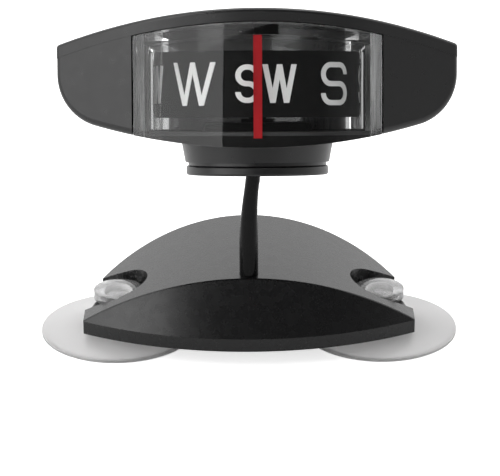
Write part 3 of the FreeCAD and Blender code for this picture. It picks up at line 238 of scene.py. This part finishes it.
# Tones, roughness and flow marks of its polished faces
CLEAR_TONES = ((0.985, 0.99, 0.99), WHITE)
CLEAR_TONE_SIZE = 30 * MM
CLEAR_ROUGHNESS = (0.0, 0.012)
CLEAR_PATCH_SIZE = 4 * MM
FLOW_MARK_SIZE = 12 * MM
FLOW_MARK_DEPTH = 0.004 * MM
WET_MARK_DEPTH = 0.1 * MM
# Tones, roughness and long marks of its sides
SIDE_TONES = ((0.96, 0.97, 0.97), (0.99, 1, 1))
SIDE_TONE_SIZE = 5 * MM
SIDE_ROUGHNESS = (0.05, 0.2)
SIDE_PATCH_SIZE = 1 * MM
STREAK_SIZE = 1.8 * MM
STREAK_STRETCH = (1, 1, 9)
STREAK_DEPTH = 0.5 * MM
# Between these values of the noise a side turns from its milkiest to its clearest
STREAK_EDGE = (0.46, 0.62)
STREAK_CLEARNESS = (0.0, 0.7)


def clear_plastic(name, ior, mark_depth):
    """Clear acrylic with hardly visible flow marks."""
    recipe = Recipe(name)
    tones = recipe.noise(CLEAR_TONE_SIZE, detail=2)
    recipe.set("Base Color", recipe.blend(tones, *CLEAR_TONES))
    patches = recipe.noise(CLEAR_PATCH_SIZE, detail=4)
    recipe.set("Roughness", recipe.spread(patches, *CLEAR_ROUGHNESS))
    recipe.bumps((recipe.noise(FLOW_MARK_SIZE, detail=1), mark_depth))
    recipe.set("Transmission Weight", 1)
    recipe.set("IOR", ior)
    recipe.let_lamps_through()
    return recipe.material


def streaky_plastic(name, lean):
    """Half-clear sides of the clear block, with long marks that scatter the light inside it."""
    recipe = Recipe(name)
    marks = recipe.noise(STREAK_SIZE, detail=3, stretch=STREAK_STRETCH, lean=lean)
    tones = recipe.noise(SIDE_TONE_SIZE, detail=3)
    recipe.set("Base Color", recipe.blend(tones, *SIDE_TONES))
    patches = recipe.noise(SIDE_PATCH_SIZE, detail=3)
    recipe.set("Roughness", recipe.spread(patches, *SIDE_ROUGHNESS))
    recipe.bumps((marks, STREAK_DEPTH))
    recipe.set("Transmission Weight", recipe.range(marks, *STREAK_EDGE, *STREAK_CLEARNESS))
    recipe.set("IOR", ACRYLIC_IOR)
    recipe.let_lamps_through()
    return recipe.material


# Soft vinyl of the suction cups

# Heights of the waist between the cups' skirts and their knobs
WAIST = (9 * MM, 10 * MM)
SKIRT_TONES = ((0.61, 0.605, 0.605), (0.67, 0.665, 0.665))
SKIRT_TONE_SIZE = 20 * MM
KNOB_COLOUR = (0.87, 0.87, 0.87)
# Roughness and clearness of the skirt, then of the knob
VINYL_ROUGHNESS = (0.32, 0.14)
VINYL_CLEARNESS = (0.72, 0.82)
# Refraction, and the share of the lamps' light that passes to what stands behind
VINYL_IOR = 1.45
VINYL_LETS_THROUGH = 0.5
# Soft waves of the skin, and its fine grain
VINYL_WAVE_SIZE = 25 * MM
VINYL_WAVE_DEPTH = 0.04 * MM
VINYL_GRAIN_SIZE = 0.4 * MM
VINYL_GRAIN_DEPTH = 0.002 * MM


def soft_vinyl(name):
    """Milky soft vinyl of the suction cups, glassy in the thick knobs."""
    recipe = Recipe(name)
    split = recipe.node("ShaderNodeSeparateXYZ")
    recipe.feed(recipe.place, split.inputs[0])
    knob = recipe.range(split.outputs["Z"], *WAIST, 0, 1)
    skirt = recipe.blend(recipe.noise(SKIRT_TONE_SIZE, detail=2), *SKIRT_TONES)
    recipe.set("Base Color", recipe.blend(knob, skirt, KNOB_COLOUR))
    recipe.set("Roughness", recipe.range(knob, 0, 1, *VINYL_ROUGHNESS))
    waves = recipe.noise(VINYL_WAVE_SIZE, detail=1)
    grain = recipe.noise(VINYL_GRAIN_SIZE, detail=2)
    recipe.bumps((waves, VINYL_WAVE_DEPTH), (grain, VINYL_GRAIN_DEPTH))
    recipe.set("Transmission Weight", recipe.range(knob, 0, 1, *VINYL_CLEARNESS))
    recipe.set("IOR", VINYL_IOR)
    recipe.let_lamps_through(VINYL_LETS_THROUGH)
    return recipe.material


# Metal

# Darkest tone as a share of the colour, and the size of its clouds
METAL_DARKEST = 0.85
METAL_CLOUD_SIZE = 3 * MM
# Roughness of the smoothest and the roughest patches, as shares of what is usual
METAL_SMOOTHEST = 0.8
METAL_ROUGHEST = 1.25
METAL_PATCH_SIZE = 0.6 * MM
TOOL_MARK_SIZE = 0.25 * MM
TOOL_MARK_DEPTH = 0.004 * MM
# How many times as long as wide the tool marks are, along each axis
TURNED = (1, 1, 1)
BRUSHED = (1, 8, 1)

METALS = {
    # name: colour, roughness, stretch of the tool marks
    "brass": ((0.68, 0.47, 0.20), 0.3, TURNED),
    "plate": ((0.62, 0.63, 0.64), 0.38, BRUSHED),
    "steel": ((0.56, 0.56, 0.57), 0.2, TURNED),
    "magnet": ((0.16, 0.16, 0.17), 0.5, TURNED),
}


def metal(name, colour, rough, marks):
    """Metal with fine turning or brushing marks."""
    recipe = Recipe(name)
    clouds = recipe.noise(METAL_CLOUD_SIZE, detail=4)
    recipe.set("Base Color", recipe.blend(clouds, tint(colour, METAL_DARKEST), colour))
    patches = recipe.noise(METAL_PATCH_SIZE, detail=3, stretch=marks)
    recipe.set("Roughness", recipe.spread(patches, rough * METAL_SMOOTHEST, rough * METAL_ROUGHEST))
    recipe.bumps((recipe.noise(TOOL_MARK_SIZE, detail=2, stretch=marks), TOOL_MARK_DEPTH))
    recipe.set("Metallic", 1)
    return recipe.material


# Which material each node wears

SWIVEL = next(j for j in frame["record"]["behaviour"]["joints"] if j["name"] == "head_swivel")
HEAD_TILT = math.atan2(SWIVEL["axis"][1], SWIVEL["axis"][2])

MATERIALS = {
    **{name: moulded_plastic(name, *values) for name, values in MOULDED.items()},
    "clear": clear_plastic("clear", ACRYLIC_IOR, FLOW_MARK_DEPTH),
    "clear_wet": clear_plastic("clear_wet", ACRYLIC_IOR / LIQUID_IOR, WET_MARK_DEPTH),
    "clear_side": streaky_plastic("clear_side", HEAD_TILT),
    "vinyl": soft_vinyl("vinyl"),
    **{name: metal(name, *values) for name, values in METALS.items()},
}

LOOKS = {
    "housing": ("body_shell", "top_cover", "swivel_collar", "mount_disc"),
    "base_plastic": ("base_shell",),
    "arm_plastic": ("arm",),
    "inner_black": ("capsule_floor", "fill_plug", "pivot_post", "diaphragm_ring"),
    "card_black": ("card_drum",),
    "print_white": ("card_lettering",),
    "strip_red": ("lubber_line",),
    "acetal": ("swivel_hub", "socket_cap"),
    "nylon": ("socket_liner_lower", "socket_liner_upper"),
    "rubber": ("floor_gasket", "expansion_diaphragm"),
    "jewel": ("jewel_cup",),
    "clear": ("capsule_bowl",),
    "vinyl": ("suction_cup_left", "suction_cup_right"),
    "brass": (
        "foot_screws",
        "disc_screws",
        "collar_screws",
        "cover_screws",
        "friction_washer",
        "compensator_rotor_left",
        "compensator_rotor_right",
    ),
    "plate": ("arm_foot_plate",),
    "steel": ("pivot_pin",),
    "magnet": ("card_magnets", "compensator_magnet_left", "compensator_magnet_right"),
}


def dress():
    """Gives every node of the frame its material."""
    for look, nodes in LOOKS.items():
        for node in nodes:
            mesh = frame["nodes"][node].data
            mesh.materials.clear()
            mesh.materials.append(MATERIALS[look])


# The bowl's faces in air are clear, those on the liquid refract less, and the block's sides are streaky
BOWL_LOOKS = ("clear", "clear_wet", "clear_side")
# Above this height over the ball, along the swivel's axis, a face that looks down is the cavity's ceiling
CEILING_LOW = 25 * MM
# Cosines of the angles up to which a face looks inwards or down, and up to which it is a flat side
FACING = 0.5
SIDEWAYS = 0.9


def bowl_look(face, ball, axis):
    """Which of the bowl's looks a face of it wears."""
    reach = face.center - ball
    height = reach.dot(axis)
    outward = (reach - axis * height).normalized()
    inward = face.normal.dot(outward) < -FACING
    ceiling = height > CEILING_LOW and face.normal.dot(axis) < -FACING
    if inward or ceiling:
        return "clear_wet"
    sideways = abs(face.normal.x) > SIDEWAYS and face.normal.x * reach.x > 0
    level = abs(face.normal.dot(axis)) > SIDEWAYS
    if sideways or level:
        return "clear_side"
    return "clear"


def dress_the_bowl():
    """Gives the bowl's faces on the liquid, and its side, top and foot faces, looks of their own."""
    ball = Vector(SWIVEL["pos_m"])
    axis = Vector(SWIVEL["axis"]).normalized()
    mesh = frame["nodes"]["capsule_bowl"].data
    for look in BOWL_LOOKS[1:]:
        mesh.materials.append(MATERIALS[look])
    for face in mesh.polygons:
        face.material_index = BOWL_LOOKS.index(bowl_look(face, ball, axis))


# Floor

FLOOR_HALF = 1500 * MM
FLOOR_DROP = 0.05 * MM
FLOOR_CORNERS = ((-1, -1), (1, -1), (1, 1), (-1, 1))
FLOOR_TONES = ((0.86, 0.86, 0.86), (0.9, 0.9, 0.9))
FLOOR_TONE_SIZE = 40 * MM
FLOOR_ROUGHNESS = (0.75, 0.85)
FLOOR_PATCH_SIZE = 3 * MM
PAPER_GRAIN_SIZE = 1 * MM
PAPER_GRAIN_DEPTH = 0.01 * MM
# What the floor adds to its own look, as a share of white, for the camera and through clear plastic
FLOOR_GLOW = 0.7


def floor_paper():
    """Pale paper that shows as white to the camera and through clear plastic."""
    recipe = Recipe("floor_paper")
    tones = recipe.noise(FLOOR_TONE_SIZE, detail=3)
    recipe.set("Base Color", recipe.blend(tones, *FLOOR_TONES))
    patches = recipe.noise(FLOOR_PATCH_SIZE, detail=3)
    recipe.set("Roughness", recipe.spread(patches, *FLOOR_ROUGHNESS))
    recipe.bumps((recipe.noise(PAPER_GRAIN_SIZE, detail=3), PAPER_GRAIN_DEPTH))
    paths = recipe.node("ShaderNodeLightPath").outputs
    seen = recipe.maths("MAXIMUM", paths["Is Camera Ray"], paths["Is Transmission Ray"])
    recipe.set("Emission Color", WHITE)
    recipe.set("Emission Strength", recipe.maths("MULTIPLY", seen, FLOOR_GLOW))
    return recipe.material


def make_floor():
    """Pale floor that keeps the object's shadow."""
    mesh = bpy.data.meshes.new("floor")
    corners = [(x * FLOOR_HALF, y * FLOOR_HALF, -FLOOR_DROP) for x, y in FLOOR_CORNERS]
    mesh.from_pydata(corners, [], [range(len(corners))])
    mesh.materials.append(floor_paper())
    floor = bpy.data.objects.new("floor", mesh)
    bpy.context.scene.collection.objects.link(floor)


# Surroundings

# Their light as a share of white, as gloss shows it: low in front, higher to the sides and behind
FRONT_LIGHT = 0.12
SIDE_LIGHT = 0.55
BACK_LIGHT = 1.45
# What is left overhead of the light in front and to the sides
OVERHEAD_SHARE = 0.8
# What clear plastic shows of the room in front, which is dimmer than the white behind
GLASS_FRONT_LIGHT = 0.5
# Where one light turns into the next, as the part of the direction that points sideways, up or back
SIDE_TURN = (0.45, 0.85)
UP_TURN = (0.3, 0.6)
BACK_TURN = (-0.15, 0.35)


def make_world():
    """White surroundings behind the object, dimmer overhead and in front."""
    world = bpy.data.worlds.new("studio")
    bpy.context.scene.world = world
    world.use_nodes = True
    nodes = Nodes(world.node_tree)
    paths = nodes.node("ShaderNodeLightPath").outputs
    place = nodes.node("ShaderNodeTexCoord")
    split = nodes.node("ShaderNodeSeparateXYZ")
    nodes.feed(place.outputs["Generated"], split.inputs[0])
    smooth = {"interpolation_type": "SMOOTHSTEP"}
    sideways = nodes.maths("ABSOLUTE", split.outputs["X"])
    sides = nodes.range(sideways, *SIDE_TURN, FRONT_LIGHT, SIDE_LIGHT, **smooth)
    dimming = nodes.range(split.outputs["Z"], *UP_TURN, 1, OVERHEAD_SHARE, **smooth)
    front = nodes.maths("MULTIPLY", sides, dimming)
    behind = nodes.range(split.outputs["Y"], *BACK_TURN, 0, BACK_LIGHT, **smooth)
    in_gloss = nodes.maths("MAXIMUM", front, behind)
    in_glass = nodes.range(split.outputs["Y"], *BACK_TURN, GLASS_FRONT_LIGHT, 1, **smooth)
    on_object = nodes.mix(paths["Is Transmission Ray"], in_gloss, in_glass)
    shine = world.node_tree.nodes["Background"]
    nodes.feed(WHITE, shine.inputs["Color"])
    nodes.feed(nodes.mix(paths["Is Camera Ray"], on_object, 1), shine.inputs["Strength"])


# Lamps

LAMP_AIM = (0, 0, 50 * MM)
LAMP_DISTANCE = 1.4
LAMPS = {
    # name: angle to the left of the viewer, angle of height, width, height, light as a share of white
    "left_softbox": (66, 32, 0.95, 1.5, 2.2),
    "left_high": (57, 50, 0.55, 0.45, 1.2),
    "left_strip": (32.5, 18, 0.74, 0.36, 1.8),
    "front_band": (-4, 33, 1.7, 0.46, 0.8),
    "top_softbox": (180, 70, 1.1, 0.8, 2.0),
}


def make_lamps():
    """Soft lamps to the left, in front and above."""
    for name, (left, rise, width, height, light) in LAMPS.items():
        data = bpy.data.lights.new(name, "AREA")
        data.shape = "RECTANGLE"
        data.size = width
        data.size_y = height
        data.energy = math.pi * width * height * light
        lamp = bpy.data.objects.new(name, data)
        turn = math.radians(left)
        lift = math.radians(rise)
        flat = math.cos(lift)
        way = Vector((-math.sin(turn) * flat, -math.cos(turn) * flat, math.sin(lift)))
        lamp.location = Vector(LAMP_AIM) + LAMP_DISTANCE * way
        lamp.rotation_euler = (-way).to_track_quat("-Z", "Y").to_euler()
        bpy.context.scene.collection.objects.link(lamp)


make_camera()
dress()
dress_the_bowl()
make_floor()
make_world()
make_lamps()
bpy.context.scene.view_settings.view_transform = "Standard"
